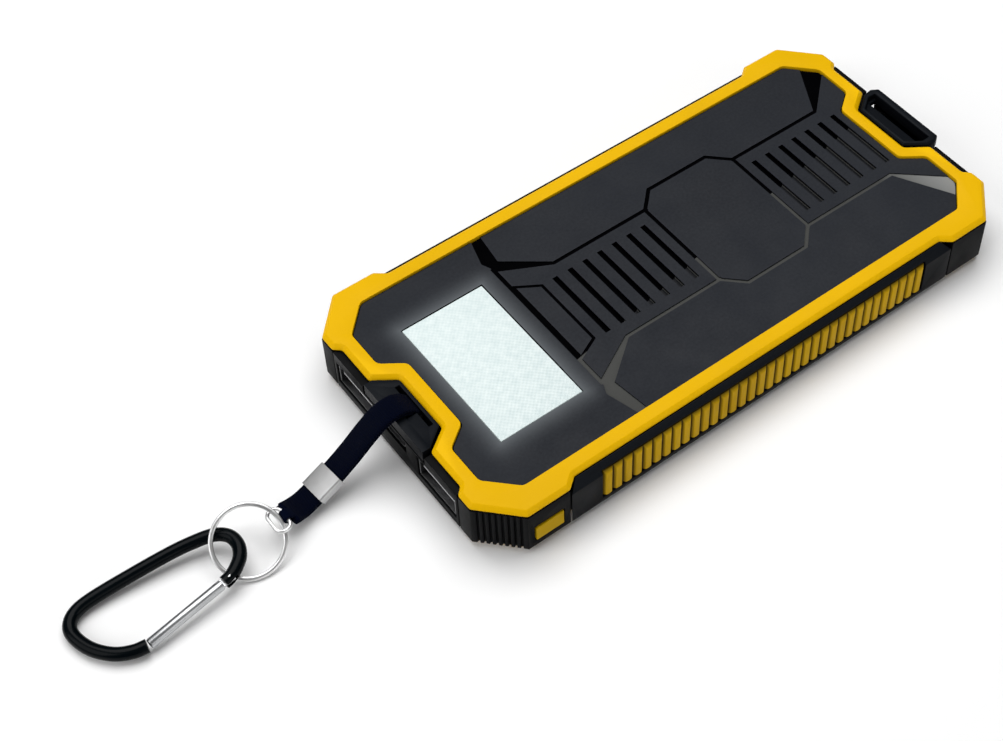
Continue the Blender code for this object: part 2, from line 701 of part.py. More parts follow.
def solar_string(side):
    """Six cells in a row, joined by two ribbons between each pair and its neighbour."""
    cells, pitch, gap = 6, 18.3, 0.7
    inner, outer = 0.6, 25.8
    start = -cells * pitch / 2 + gap / 2
    ribbons = ((inner + 6.0, inner + 7.6), (outer - 7.6, outer - 6.0))
    shape = bmesh.new()
    x_lines, filled = [], []
    for k in range(cells):
        left = start + k * pitch
        x_lines += [left, left + pitch - gap]
        filled += [True, False]
    y_lines = [inner, ribbons[0][0], ribbons[0][1], ribbons[1][0], ribbons[1][1], outer]
    low, high = {}, {}
    for i, x in enumerate(x_lines):
        for j, y in enumerate(y_lines):
            low[i, j] = shape.verts.new((x, side * y, CELL_LOW))
            high[i, j] = shape.verts.new((x, side * y, CELL_HIGH))
    for i in range(len(x_lines) - 1):
        for j in range(len(y_lines) - 1):
            if filled[i] or j in (1, 3):
                corners = ((i, j), (i + 1, j), (i + 1, j + 1), (i, j + 1))
                shape.faces.new([high[c] for c in corners])
                shape.faces.new([low[c] for c in corners])
    rim = [edge for edge in shape.edges if len(edge.link_faces) == 1]
    upper = {tuple(round(v, 4) for v in vert.co.xy): vert for vert in high.values()}
    for edge in rim:
        if edge.verts[0].co.z < (CELL_LOW + CELL_HIGH) / 2:
            first, second = edge.verts
            above = [upper[tuple(round(v, 4) for v in vert.co.xy)] for vert in (second, first)]
            shape.faces.new((first, second, *above))
    return shape


def seals():
    seal = ring_prism(grown(INNER, 1.05), grown(INNER, 0.3), SEAT + 0.05, COVER_LOW - 0.05)
    piece("light_seal", seal, "seal_rubber")
    outer = chamfered(67.0, 30.15, 6.5)
    piece("solar_seal", ring_prism(outer, grown(outer, -0.6), TRAY_HIGH + 0.05, TRAY_HIGH + 0.6), "seal_rubber")


def screws():
    """Countersunk screws that hold the solar tray to the light cover's posts."""
    profile = [(1.6, TRAY_LOW + 0.1), (0.75, TRAY_HIGH - 0.1), (0.75, 8.3), (0.3, 8.9)]
    slot, reach = 0.25, 0.95
    for index, (side_x, side_y) in enumerate(((-1, -1), (1, -1), (1, 1), (-1, 1)), 1):
        x, y = side_x * POST_X, side_y * POST_Y
        screw = piece(f"cover_screw_{index}", turned((x, y), profile, 12), "bright_metal", smooth=True)
        cross = four_way([(reach, slot), (slot, slot), (slot, reach)])
        carve(screw, prism([(x + a, y + b) for a, b in cross], TRAY_LOW - 0.5, TRAY_LOW + 0.5))


# ---------------------------------------------------------------- electronics


def ports():
    for name, side in (("near", -1), ("far", 1)):
        y = side * USB_Y
        half, tall = USB_WIDTH / 2, USB_TALL / 2
        low, high = USB_Z - tall, USB_Z + tall
        end = PORT_FRONT + USB_DEEP
        outside = block(PORT_FRONT, end, y - half, y + half, low, high)
        shell = piece(f"usb_a_shell_{name}", outside, "bright_metal")
        half -= USB_WALL
        low += USB_WALL
        high -= USB_WALL
        carve(shell, block(PORT_FRONT - 1, end - USB_WALL, y - half, y + half, low, high))
        back = end - USB_WALL - 0.1
        tongue = piece(
            f"usb_a_tongue_{name}",
            block(PORT_FRONT + 0.4, back - 1.0, y - 5.5, y + 5.5, USB_Z + 0.3, USB_Z + 2.1),
            "component",
        )
        carve(tongue, block(back - 3.0, back, y - half + 0.1, y + half - 0.1, low + 0.1, high - 0.1), "UNION")

    half, tall, front = MICRO_WIDTH / 2, MICRO_TALL / 2, PORT_FRONT + 0.1
    foot = half - 0.9
    trapezoid = [(half, tall), (-half, tall), (-half, 0.1), (-foot, -tall), (foot, -tall), (half, 0.1)]
    shell = piece("micro_usb_shell", end_on(trapezoid, front, front + MICRO_DEEP, MICRO_Z), "bright_metal")
    back = front + MICRO_DEEP - MICRO_WALL
    carve(shell, end_on(grown(trapezoid, -MICRO_WALL), front - 1, back, MICRO_Z))
    tongue = block(front + 0.3, back - 0.1, -2.7, 2.7, MICRO_Z + 0.05, MICRO_Z + 0.75)
    piece("micro_usb_tongue", tongue, "component")


def end_on(outline, x0, x1, z):
    """A shape drawn in the end face (across, up) and carried along X."""
    shape = bmesh.new()
    ends = [[shape.verts.new((x, a, z + b)) for a, b in outline] for x in (x0, x1)]
    count = len(outline)
    shape.faces.new(ends[0])
    shape.faces.new(ends[1][::-1])
    for i in range(count):
        j = (i + 1) % count
        shape.faces.new((ends[0][i], ends[1][i], ends[1][j], ends[0][j]))
    return shape


def electronics():
    half = 21.9
    board = piece("main_board", block(-65.2, -33.0, -half, half, BOARD_LOW, BOARD_HIGH), "circuit_board")
    inner = USB_Y - USB_WIDTH / 2 - GAP
    back = PORT_FRONT + USB_DEEP + GAP
    carve(board, blocks((-67, back, inner, half + 1, 4, 8), (-67, back, -half - 1, -inner, 4, 8)))
    carve(board, block(STEM_X - 2.0, STEM_X + 4.0, -27.2, -half + 0.25, BOARD_LOW, BOARD_HIGH), "UNION")

    body = block(STEM_X - 1.75, STEM_X + 1.75, -27.0, -24.0, BOARD_LOW - 2.0, BOARD_LOW - 0.05)
    switch = piece("tact_switch", body, "component")
    carve(switch, rod((STEM_X, -27.9, BUTTON_Z - 0.9), (STEM_X, -26.5, BUTTON_Z - 0.9), 0.5), "UNION")
    inductor = [(-45 + x, 11 + y) for x, y in chamfered(3.5, 3.5, 0.8)]
    piece("boost_inductor", prism(inductor, 3.5, BOARD_LOW - 0.05), "component")
    piece("controller_chip", block(-53.5, -48.5, -4.5, 0.5, BOARD_HIGH + 0.05, BOARD_HIGH + 0.95), "component")
    capacitor = block(-42.0, -38.5, -13.8, -11.0, BOARD_HIGH + 0.05, BOARD_HIGH + 1.6)
    piece("output_capacitor", capacitor, "component")
    piece("light_pin_header", block(-47.5, -45.0, 14.0, 19.0, BOARD_HIGH + 0.05, 8.35), "component")

    for name, side in (("battery_cell_near", -1), ("battery_cell_far", 1)):
        outline = [(15.0 + x, side * 14.8 + y) for x, y in chamfered(44.0, 14.2, 1.2)]
        piece(name, prism(outline, 3.5, 10.2, top_bevel=0.8, bottom_bevel=0.8), "cell_foil")
    piece("cell_protection_board", block(-30.9, -30.0, -12.0, 12.0, 4.2, 8.6), "circuit_board")

    bar = block(GUIDE_X - 0.9, GUIDE_X + 0.9, -7.9, 7.9, 3.9, 4.9)
    guide = piece("indicator_light_guide", bar, "clear_resin")
    for k in range(-2, 3):
        y = k * GUIDE_PITCH
        carve(guide, rod((GUIDE_X, y, 0.3), (GUIDE_X, y, 4.4), GUIDE_RADIUS, 10), "UNION")

    for name, y, bow in (("red", 6.0, 0.4), ("black", 3.0, -0.4)):
        points = [
            (-31.3, y, 7.6),
            (-32.6, y, 7.9),
            (-34.2, y + bow / 2, 7.8),
            (-35.0, y + bow, 7.2),
            (-35.1, y + bow, 6.7),
        ]
        wire(f"battery_lead_{name}", points, WIRE_RADIUS, f"{name}_wire")
    solar_red = [
        (-40.8, 21.8, 2.2),
        (-40.8, 21.6, 3.2),
        (-41.6, 20.6, 4.2),
        (-42.0, 19.8, 4.8),
        (-42.0, 19.6, 5.35),
    ]
    solar_black = [
        (-39.2, 19.4, 2.2),
        (-39.2, 19.3, 3.2),
        (-38.6, 18.4, 4.2),
        (-38.2, 17.8, 4.8),
        (-38.2, 17.6, 5.35),
    ]
    wire("solar_lead_red", solar_red, WIRE_RADIUS, "red_wire")
    wire("solar_lead_black", solar_black, WIRE_RADIUS, "black_wire")


def power_button():
    origin = (BUTTON_X, -33.0, BUTTON_Z)
    half_x, half_z = BUTTON_WIDTH / 2, BUTTON_TALL / 2
    face = block(BUTTON_X - half_x, BUTTON_X + half_x, -35.6, -32.4, BUTTON_Z - half_z, BUTTON_Z + half_z)
    button = piece("power_button", face, "ribbed_yellow", origin)
    half_x += 0.5
    half_z += 0.5
    flange = block(BUTTON_X - half_x, BUTTON_X + half_x, -32.9, -32.1, BUTTON_Z - half_z, BUTTON_Z + half_z)
    carve(button, flange, "UNION")
    carve(button, rod((STEM_X, -32.5, BUTTON_Z), (STEM_X, -28.6, BUTTON_Z), 1.2), "UNION")
    pad = bmesh.new()
    rings = []
    for radius, y in ((2.1, -31.55), (2.1, -31.15), (1.55, -31.15), (1.55, -31.55)):
        rings.append([pad.verts.new((STEM_X + a, y, BUTTON_Z + b)) for a, b in circle(radius, 12)])
    for first, second in zip(rings, rings[1:] + rings[:1]):
        for i in range(12):
            j = (i + 1) % 12
            pad.faces.new((first[i], first[j], second[j], second[i]))
    piece("button_return_pad", pad, "seal_rubber")


# ---------------------------------------------------------------- strap, ring and carabiner


def strap():
    half_w, half_t, corner = STRAP_WIDTH / 2, STRAP_THICK / 2, 0.35
    section = chamfered(half_w, half_t, corner)
    piece("strap_webbing", swept(smooth_route(STRAP_POINTS, 3), section), "webbing", smooth=True)

    route = [CRIMP_START, CRIMP_END]
    sleeve = piece("strap_crimp", swept(route, chamfered(half_w + 0.6, half_t + 0.6, 0.5)), "bright_metal")
    along = (CRIMP_END - CRIMP_START).normalized()
    carve(sleeve, swept([CRIMP_START - along, CRIMP_END + along], chamfered(half_w + 0.3, half_t + 0.3, 0.3)))


def oval_route(half_x, half_y, steps):
    """A flat loop with two straight sides along Y and round ends."""
    straight = half_y - half_x
    points = []
    for k in range(steps):
        angle = 2 * math.pi * k / steps
        shift = straight if math.sin(angle) >= 0 else -straight
        points.append(Vector((half_x * math.cos(angle), half_x * math.sin(angle) + shift, 0)))
    return points


def ring_and_eyelet():
    origin = EYELET_CENTRE + Vector((EYELET_X, 0, 0))
    route = [EYELET_CENTRE + point for point in oval_route(EYELET_X, EYELET_Y, 20)]
    eyelet = swept(route, circle(EYELET_WIRE, 8), closed=True, side=Vector((0, 0, 1)))
    piece("strap_eyelet", eyelet, "bright_metal", origin, smooth=True)

    turn = RING_NORMAL.to_track_quat("Z", "Y").to_matrix()
    steps = 32
    route = []
    for k in range(steps):
        angle = 2 * math.pi * k / steps
        flat = Vector((math.cos(angle), math.sin(angle), 0)) * RING_RADIUS
        route.append(RING_CENTRE + turn @ flat)
    ring = swept(route, circle(RING_WIRE, 8), closed=True, side=RING_NORMAL)
    piece("split_ring", ring, "bright_metal", origin, smooth=True)


def carabiner():
    """The carabiner is drawn flat, with its ring-side tip at the origin, then tipped and moved into place."""
    tip = Matrix.Translation(CARABINER_TIP) @ Matrix.Rotation(-CARABINER_PITCH, 4, "Y")
    bends = [
        GATE_HINGE,
        (-5.0, -5.5),
        (-3.2, -4.6),
        (-1.1, -2.8),
        (0.0, -0.2),
        (-0.4, 2.6),
        (-2.6, 4.7),
        (-6.5, 5.9),
        (-12.0, 6.8),
        (-21.0, 7.5),
        (-28.5, 7.8),
        (-32.2, 7.2),
        (-34.3, 5.4),
        (-34.7, 2.6),
        (-33.4, -1.6),
        (-30.6, -5.3),
        (-27.4, -7.3),
        GATE_NOSE,
    ]
    route = smooth_route([(x, y, 0) for x, y in bends], 2)
    body_shape = swept(route, circle(CARABINER_ROD, 10), side=Vector((0, 0, 1)))
    hinge = Vector((*GATE_HINGE, 0))
    nose = Vector((*GATE_NOSE, 0))
    along = (nose - hinge).normalized()
    pin = hinge - along * 1.3  # the pin's axis
    across = Vector((-along.y, along.x, 0))

    def boxed(start, end, half_across, half_up):
        return swept([start, end], rectangle(-half_across, half_across, -half_up, half_up), side=across)

    def tipped(shape):
        bmesh.ops.transform(shape, matrix=tip, verts=shape.verts)
        return shape

    origin = tip @ pin
    body = piece("carabiner_body", tipped(body_shape), "black_anodised", tuple(CARABINER_TIP), smooth=True)
    carve(body, tipped(boxed(pin - along * 1.5, hinge + along * 1.0, 2.5, 0.55)))
    carve(body, tipped(rod(pin - Vector((0, 0, 3)), pin + Vector((0, 0, 3)), 0.5, 10)))
    gate = piece(
        "carabiner_gate",
        tipped(rod(hinge + along * 0.5, nose - along * 0.4, GATE_ROD, 12)),
        "bright_metal",
        tuple(origin),
        smooth=True,
    )
    carve(gate, tipped(boxed(pin - along * 0.9, hinge + along * 1.2, 0.85, 0.3)), "UNION")
    carve(gate, tipped(rod(pin - Vector((0, 0, 3)), pin + Vector((0, 0, 3)), 0.55, 10)))
    groove_start, groove_end = hinge + along * 2.0, hinge + along * 8.0
    lift = across * 0.9 * (1 if across.y > 0 else -1)
    carve(gate, tipped(boxed(groove_start + lift, groove_end + lift, 0.5, 0.35)))
    spring = boxed(groove_start + lift * 0.9 + along * 0.2, groove_end + lift * 0.9 - along * 0.2, 0.2, 0.2)
    piece("gate_spring", tipped(spring), "bright_metal")
    half_pin = Vector((0, 0, 1.2))
    piece("gate_pin", tipped(rod(pin - half_pin, pin + half_pin, 0.4, 10)), "bright_metal", smooth=True)


clear_scene()
MATERIALS = {name: make_material(name) for name in COLOURS}
ROOT = bpy.data.objects.new("charger", None)
bpy.context.scene.collection.objects.link(ROOT)
ROOT.location.x = BODY_OFFSET * MM

upper_bezel()
light_cover()
light()
mid_frame()
corner_bumpers()
side_rails()
grip_strips()
end_plates()
strap_anchor()
hanging_loop()
solar_side()
seals()
screws()
ports()
electronics()
power_button()
strap()
ring_and_eyelet()
carabiner()
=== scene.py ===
"""Looks for the solar phone charger: materials, softened edges, strap, light and camera."""

import json
import math

import bmesh
import bpy
from mathutils import Matrix, Vector


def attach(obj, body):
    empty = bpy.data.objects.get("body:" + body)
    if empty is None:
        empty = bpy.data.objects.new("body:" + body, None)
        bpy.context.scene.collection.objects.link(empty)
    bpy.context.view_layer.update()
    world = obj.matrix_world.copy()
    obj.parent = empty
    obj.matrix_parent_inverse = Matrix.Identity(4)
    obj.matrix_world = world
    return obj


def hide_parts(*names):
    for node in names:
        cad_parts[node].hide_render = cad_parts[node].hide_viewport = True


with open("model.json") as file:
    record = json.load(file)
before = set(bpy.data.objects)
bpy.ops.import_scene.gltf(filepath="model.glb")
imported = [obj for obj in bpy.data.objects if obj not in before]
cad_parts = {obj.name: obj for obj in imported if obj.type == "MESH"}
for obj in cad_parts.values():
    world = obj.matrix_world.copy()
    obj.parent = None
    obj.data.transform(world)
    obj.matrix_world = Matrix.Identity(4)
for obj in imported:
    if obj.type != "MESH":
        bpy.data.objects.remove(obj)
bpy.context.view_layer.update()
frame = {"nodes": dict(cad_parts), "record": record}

MM = 0.001
COVER_TOP = 13.4 * MM
# The light panel's window, from the body's centre in millimetres and as half widths in metres, and its glow
WINDOW_CENTRE = (-46.85, 0, 0)
WINDOW_HALF = (10.45 * MM, 18.0 * MM)
GLOW_REACH, GLOW_STRENGTH = 6.5 * MM, 0.12
LENS_EMISSION = 0.13
PRISM_PITCH, FINGER_PITCH, YARN_PITCH = 1.05 * MM, 1.9 * MM, 0.7 * MM
YARNS_ACROSS = 9
# The grooves' painted shade and painted reflection change at the line y = slope * x + start
SHADE_LINE_SLOPE, SHADE_LINE_START = 0.17, -4.9 * MM
# The body's centre stands this far from the row's origin, in millimetres
BODY_OFFSET = Vector((-1.1, 0, 0))

# The camera, in millimetres from the body's centre
EYE = Vector((-172.0, -195.5, 312.7))
LOOK = Vector((0.41403615, 0.52220337, -0.74557207))
DOWN = Vector((-0.45599698, -0.58989988, -0.66639694))
LENS, SENSOR = 65.28, 36.0
SHIFT = (-0.1032, -0.1401)

LIGHT_AIM = Vector((0, 0, 0.005))

# The strap's centre line as part.py has it
STRAP_WIDTH, STRAP_THICK = 5.6, 1.6
STRAP_POINTS = [
    (-65.5, 1.2, 11.7),
    (-66.4, 1.2, 12.8),
    (-67.5, 1.2, 14.0),
    (-69.2, 1.2, 15.0),
    (-71.4, 1.2, 15.2),
    (-74.0, 1.3, 14.2),
    (-77.0, 1.5, 11.7),
    (-80.2, 1.7, 8.7),
    (-83.2, 1.8, 6.3),
    (-85.6, 1.7, 4.9),
    (-88.2, 1.5, 3.8),
    (-90.8, 1.2, 2.9),
    (-93.6, 0.6, 2.7),
    (-95.9, -0.1, 3.5),
    (-97.6, -0.9, 4.8),
]

CRIMP_START, CRIMP_END = Vector((-85.3, 1.72, 5.05)), Vector((-90.6, 1.22, 2.97))

# The ring, the eyelet and the carabiner as part.py has them
RING_CENTRE = Vector((-107.0, -1.4, 4.45))
RING_RADIUS = 7.3
RING_NORMAL = Vector((-0.13, -0.5, 0.856)).normalized()
EYELET_CENTRE = Vector((-99.95, -1.4, 5.3))
EYELET_X, EYELET_Y, EYELET_WIRE = 1.6, 2.9, 0.4
CARABINER_ROD, GATE_ROD = 1.4, 1.1
CARABINER_TIP = Vector((-108.9, -0.3, 4.05))
CARABINER_PITCH = math.radians(4.35)
GATE_HINGE = (-6.4, -5.8)
GATE_NOSE = (-24.6, -8.0)


# ---------------------------------------------------------------- helpers


def at(x, y, z):
    """A point in metres in the row's frame, from millimetres measured from the body's centre."""
    return (Vector((x, y, z)) + BODY_OFFSET) * MM


def object_of(name, shape, material, body, smooth=True):
    """Turns a bmesh in the row's frame into a piece that rides on a body."""
    mesh = bpy.data.meshes.new(name)
    shape.to_mesh(mesh)
    shape.free()
    piece = bpy.data.objects.new(name, mesh)
    bpy.context.scene.collection.objects.link(piece)
    mesh.materials.append(material)
    if smooth:
        mesh.shade_smooth()
    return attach(piece, body)


def body_of(node):
    for body, nodes in frame["record"]["behaviour"]["bodies"].items():
        if node in nodes:
            return body
    raise ValueError(node)


def softened(node, material, width, segments=2, angle=28.0, flat=False):
    """A copy of a CAD node with rounded edges, which takes the node's place. flat keeps every face plain."""
    shape = bmesh.new()
    shape.from_mesh(frame["nodes"][node].data)
    bmesh.ops.remove_doubles(shape, verts=shape.verts, dist=0.000002)
    if not flat:
        bmesh.ops.dissolve_limit(shape, angle_limit=math.radians(0.6), verts=shape.verts, edges=shape.edges)
    piece = object_of(f"{node}_finished", shape, material, body_of(node), smooth=not flat)
    bevel = piece.modifiers.new("rounded", "BEVEL")
    bevel.width = width * MM
    bevel.segments = segments
    bevel.limit_method = "ANGLE"
    bevel.angle_limit = math.radians(angle)
    bevel.miter_outer = "MITER_ARC"
    bevel.harden_normals = not flat
    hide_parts(node)
    return piece


def repaint(material, *nodes):
    for node in nodes:
        data = frame["nodes"][node].data
        data.materials.clear()
        data.materials.append(material)


def smooth_route(points, per_span):
    """Points read from a Catmull-Rom curve through the given points."""
    points = [Vector(p) for p in points]
    padded = [2 * points[0] - points[1]] + points + [2 * points[-1] - points[-2]]
    route = []
    for a, b, c, d in zip(padded, padded[1:], padded[2:], padded[3:]):
        for step in range(per_span):
            t = step / per_span
            square = (2 * a - 5 * b + 4 * c - d) * t**2
            cube = (3 * b - a - 3 * c + d) * t**3
            route.append(0.5 * (2 * b + (c - a) * t + square + cube))
    return route + [points[-1]]


# ---------------------------------------------------------------- materials


class Nodes:
    """Builds one Principled material, a node at a time."""

    def __init__(self, name, colour, roughness, metallic=0.0, **settings):
        self.material = bpy.data.materials.new(name)
        self.material.use_nodes = True
        self.tree = self.material.node_tree
        self.shader = self.tree.nodes["Principled BSDF"]
        self.shader.inputs["Base Color"].default_value = (*colour, 1)
        self.shader.inputs["Roughness"].default_value = roughness
        self.shader.inputs["Metallic"].default_value = metallic
        for key, value in settings.items():
            self.shader.inputs[key.replace("_", " ")].default_value = value
        self.material.diffuse_color = (*colour, 1)
        self.place = self.add("ShaderNodeTexCoord").outputs["Object"]

    def add(self, kind, **values):
        node = self.tree.nodes.new(kind)
        for key, value in values.items():
            setattr(node, key, value)
        return node

    def link(self, output, target):
        self.tree.links.new(output, target)

    def noise(self, scale, detail=2.0, stretch=None):
        """Noise in the object's own metres; scale is in features per metre."""
        node = self.add("ShaderNodeTexNoise")
        node.inputs["Scale"].default_value = scale
        node.inputs["Detail"].default_value = detail
        source = self.place
        if stretch:
            mapping = self.add("ShaderNodeMapping")
            mapping.inputs["Scale"].default_value = stretch
            self.link(self.place, mapping.inputs["Vector"])
            source = mapping.outputs["Vector"]
        self.link(source, node.inputs["Vector"])
        return node.outputs["Fac"]

    def spread(self, value, low, high, start=0.3, end=0.7):
        """Maps start..end of a value onto low..high."""
        node = self.add("ShaderNodeMapRange")
        node.inputs["From Min"].default_value = start
        node.inputs["From Max"].default_value = end
        node.inputs["To Min"].default_value = low
        node.inputs["To Max"].default_value = high
        self.link(value, node.inputs["Value"])
        return node.outputs["Result"]

    def mix(self, factor, first, second):
        node = self.add("ShaderNodeMix", data_type="RGBA")
        self.link(factor, node.inputs["Factor"])
        for value, socket in ((first, node.inputs["A"]), (second, node.inputs["B"])):
            if isinstance(value, tuple):
                socket.default_value = (*value, 1)
            else:
                self.link(value, socket)
        return node.outputs["Result"]

    def calculate(self, operation, first, second=0.0):
        node = self.add("ShaderNodeMath", operation=operation)
        for value, socket in ((first, node.inputs[0]), (second, node.inputs[1])):
            if isinstance(value, (int, float)):
                socket.default_value = value
            else:
                self.link(value, socket)
        return node.outputs["Value"]

    def bump(self, height, distance, strength=1.0, under=None):
        node = self.add("ShaderNodeBump")
        node.inputs["Strength"].default_value = strength
        node.inputs["Distance"].default_value = distance
        self.link(height, node.inputs["Height"])
        if under:
            self.link(under, node.inputs["Normal"])
        return node.outputs["Normal"]

    def colour(self, source):
        self.link(source, self.shader.inputs["Base Color"])

    def roughness(self, source):
        self.link(source, self.shader.inputs["Roughness"])

    def normal(self, source):
        self.link(source, self.shader.inputs["Normal"])


def moulded(name, dark, light, roughness, upper=None, valley=None, grain=2600.0, depth=0.000012, **settings):
    """Moulded plastic or rubber: a fine grain, slow colour drift and edges painted a little lighter as a
    painted highlight.

    upper is a lighter colour painted on faces turned upwards, as painted light from above. valley is the two
    distances from the middle plane between which painted shade fades away from the valleys between ribs."""
    middle = tuple((a + b) / 2 for a, b in zip(dark, light))
    m = Nodes(name, middle, roughness, **settings)
    drift = m.mix(m.spread(m.noise(45.0, 4.0), 0.0, 1.0), dark, light)
    surface = m.add("ShaderNodeNewGeometry")
    # Faces turned upwards are painted lighter: painted light from above.
    if upper:
        facing = m.add("ShaderNodeSeparateXYZ")
        m.link(surface.outputs["Normal"], facing.inputs["Vector"])
        drift = m.mix(m.spread(facing.outputs["Z"], 0.0, 1.0, 0.3, 0.6), drift, upper)
    # The valleys between ribs are painted dark: painted shade.
    if valley:
        split = m.add("ShaderNodeSeparateXYZ")
        m.link(m.place, split.inputs["Vector"])
        outward = m.calculate("ABSOLUTE", split.outputs["Y"])
        drift = m.mix(m.spread(outward, 0.0, 1.0, *valley), (0.012, 0.008, 0.001), drift)
    # Convex edges are painted a little lighter: a painted highlight.
    edge_highlight = m.spread(surface.outputs["Pointiness"], 0.0, 0.35, 0.52, 0.62)
    lighter = tuple(min(1.0, c * 1.3 + 0.002) for c in light)
    m.colour(m.mix(edge_highlight, drift, lighter))
    m.roughness(m.spread(m.noise(160.0, 3.0), roughness - 0.06, roughness + 0.08))
    m.normal(m.bump(m.noise(grain, 2.0), depth, 0.6))
    return m.material


def metal(name, colour, roughness, stretch=(1, 1, 1), **settings):
    """Polished or brushed metal with fine scratches."""
    m = Nodes(name, colour, roughness, 1.0, **settings)
    worn = tuple(c * 0.86 for c in colour)
    m.colour(m.mix(m.spread(m.noise(220.0, 3.0), 0.0, 1.0), colour, worn))
    scratches = m.noise(1400.0, 4.0, stretch)
    m.roughness(m.spread(scratches, max(0.05, roughness - 0.05), roughness + 0.08))
    m.normal(m.bump(scratches, 0.000004, 0.3))
    return m.material


def cover_material():
    """Charcoal plastic with painted shade and painted reflections in its grooves, and the light panel's soft
    glow painted around its window.
    """
    m = Nodes("charcoal_cover", (0.009, 0.01, 0.0145), 0.5, Specular_IOR_Level=0.15)
    drift = m.mix(m.spread(m.noise(30.0, 4.0), 0.0, 1.0), (0.0072, 0.0085, 0.0125), (0.0105, 0.0125, 0.0175))
    speckle = m.mix(m.spread(m.noise(1500.0, 3.0), 0.0, 0.5), drift, (0.017, 0.02, 0.026))
    split = m.add("ShaderNodeSeparateXYZ")
    m.link(m.place, split.inputs["Vector"])
    x, y, z = (split.outputs[axis] for axis in "XYZ")

    # The grooves and slots lie below the top face. On the far side of a slanting line across the cover they
    # are painted black, as painted shade.
    # On its near side the grooves' walls are painted black as shade and their floors grey as a painted
    # reflection;
    # the slots' walls are painted grey as a painted highlight and their floors stay charcoal.
    recess = m.calculate("LESS_THAN", z, COVER_TOP - 0.15 * MM)
    groove = m.calculate("GREATER_THAN", z, COVER_TOP - 0.6 * MM)
    line = m.calculate("ADD", m.calculate("MULTIPLY", x, SHADE_LINE_SLOPE), SHADE_LINE_START)
    near = m.calculate("LESS_THAN", y, line)
    facing = m.add("ShaderNodeSeparateXYZ")
    m.link(m.add("ShaderNodeNewGeometry").outputs["Normal"], facing.inputs["Vector"])
    floor = m.calculate("GREATER_THAN", facing.outputs["Z"], 0.5)
    # The painted reflection on the near grooves' floors grows lighter towards the corner, as a painted
    # highlight.
    towards_corner = m.spread(x, 0.0, 1.0, 52.0 * MM, 66.0 * MM)
    grey = m.mix(towards_corner, (0.05, 0.051, 0.048), (0.27, 0.275, 0.27))
    # black is painted shade: the grooves' walls and every recess on the far side.
    black = (0.0015, 0.0016, 0.002)
    in_groove = m.mix(floor, black, grey)
    in_slot = m.mix(floor, (0.14, 0.14, 0.135), (0.006, 0.007, 0.0095))
    near_colour = m.mix(groove, in_slot, in_groove)
    recessed = m.mix(near, black, near_colour)
    m.colour(m.mix(recess, speckle, recessed))
    m.roughness(m.spread(m.noise(120.0, 3.0), 0.45, 0.6))
    m.normal(m.bump(m.noise(3200.0, 2.0), 0.000018, 0.5))

    # Distance to the window's rectangle, in metres, drives the glow
    centre = at(*WINDOW_CENTRE)
    half_x, half_y = WINDOW_HALF
    away = []
    for position, middle, half in ((x, centre.x, half_x), (y, centre.y, half_y)):
        offset = m.calculate("ABSOLUTE", m.calculate("SUBTRACT", position, middle))
        away.append(m.calculate("MAXIMUM", m.calculate("SUBTRACT", offset, half), 0.0))
    squares = [m.calculate("POWER", side, 2.0) for side in away]
    distance = m.calculate("SQRT", m.calculate("ADD", squares[0], squares[1]))
    fade = m.spread(distance, 1.0, 0.0, 0.0, GLOW_REACH)
    glow = m.calculate("MULTIPLY", m.calculate("POWER", fade, 2.6), m.calculate("SUBTRACT", 1.0, recess))
    m.shader.inputs["Emission Color"].default_value = (0.75, 0.82, 0.86, 1)
    m.link(m.calculate("MULTIPLY", glow, GLOW_STRENGTH), m.shader.inputs["Emission Strength"])
    return m.material


def blacken_grooves(cover):
    """Splits the cover where the grooves' painted light changes, and paints the far side's recesses black as
    painted shade.
    """
    # The far side's recesses take a black material without reflections: painted shade.
    groove_shade = Nodes("groove_painted_shade", (0.0012, 0.0012, 0.0015), 0.8, Specular_IOR_Level=0.0)
    groove_shade.colour(groove_shade.mix(groove_shade.noise(300.0, 2.0), (0.0008, 0.0008, 0.001), (0.0016, 0.0016, 0.002)))
    cover.data.materials.append(groove_shade.material)
    shape = bmesh.new()
    shape.from_mesh(cover.data)
    bmesh.ops.bisect_plane(
        shape,
        geom=shape.verts[:] + shape.edges[:] + shape.faces[:],
        dist=0.0000005,
        plane_co=(0, SHADE_LINE_START, 0),
        plane_no=(-SHADE_LINE_SLOPE, 1, 0),
    )
    for face in shape.faces:
        where = face.calc_center_median()
        far = where.y > SHADE_LINE_SLOPE * where.x + SHADE_LINE_START
        if far and 12.3 * MM < where.z < COVER_TOP - 0.05 * MM:
            face.material_index = 1
    shape.to_mesh(cover.data)
    shape.free()


def lens_material():
    """The lit diffuser: near white, with the fine grid of its prisms."""
    m = Nodes("lit_diffuser", (0.68, 0.77, 0.76), 0.5, Specular_IOR_Level=0.2)
    split = m.add("ShaderNodeSeparateXYZ")
    m.link(m.place, split.inputs["Vector"])
    waves = []
    for axis in ("X", "Y"):
        turn = m.calculate("MULTIPLY", split.outputs[axis], 2 * math.pi / PRISM_PITCH)
        waves.append(m.calculate("SINE", turn))
    grid = m.calculate("MULTIPLY", waves[0], waves[1])
    fine = m.calculate("ADD", m.spread(grid, 0.0, 0.4, -1.0, 1.0), m.spread(m.noise(700.0, 3.0), 0.0, 0.6))
    m.colour(m.mix(fine, (0.54, 0.63, 0.63), (0.7, 0.77, 0.76)))
    lit = m.mix(fine, (0.72, 0.84, 0.84), (0.86, 0.96, 0.95))
    m.link(lit, m.shader.inputs["Emission Color"])
    m.shader.inputs["Emission Strength"].default_value = LENS_EMISSION
    m.normal(m.bump(grid, 0.00004, 0.5))
    return m.material


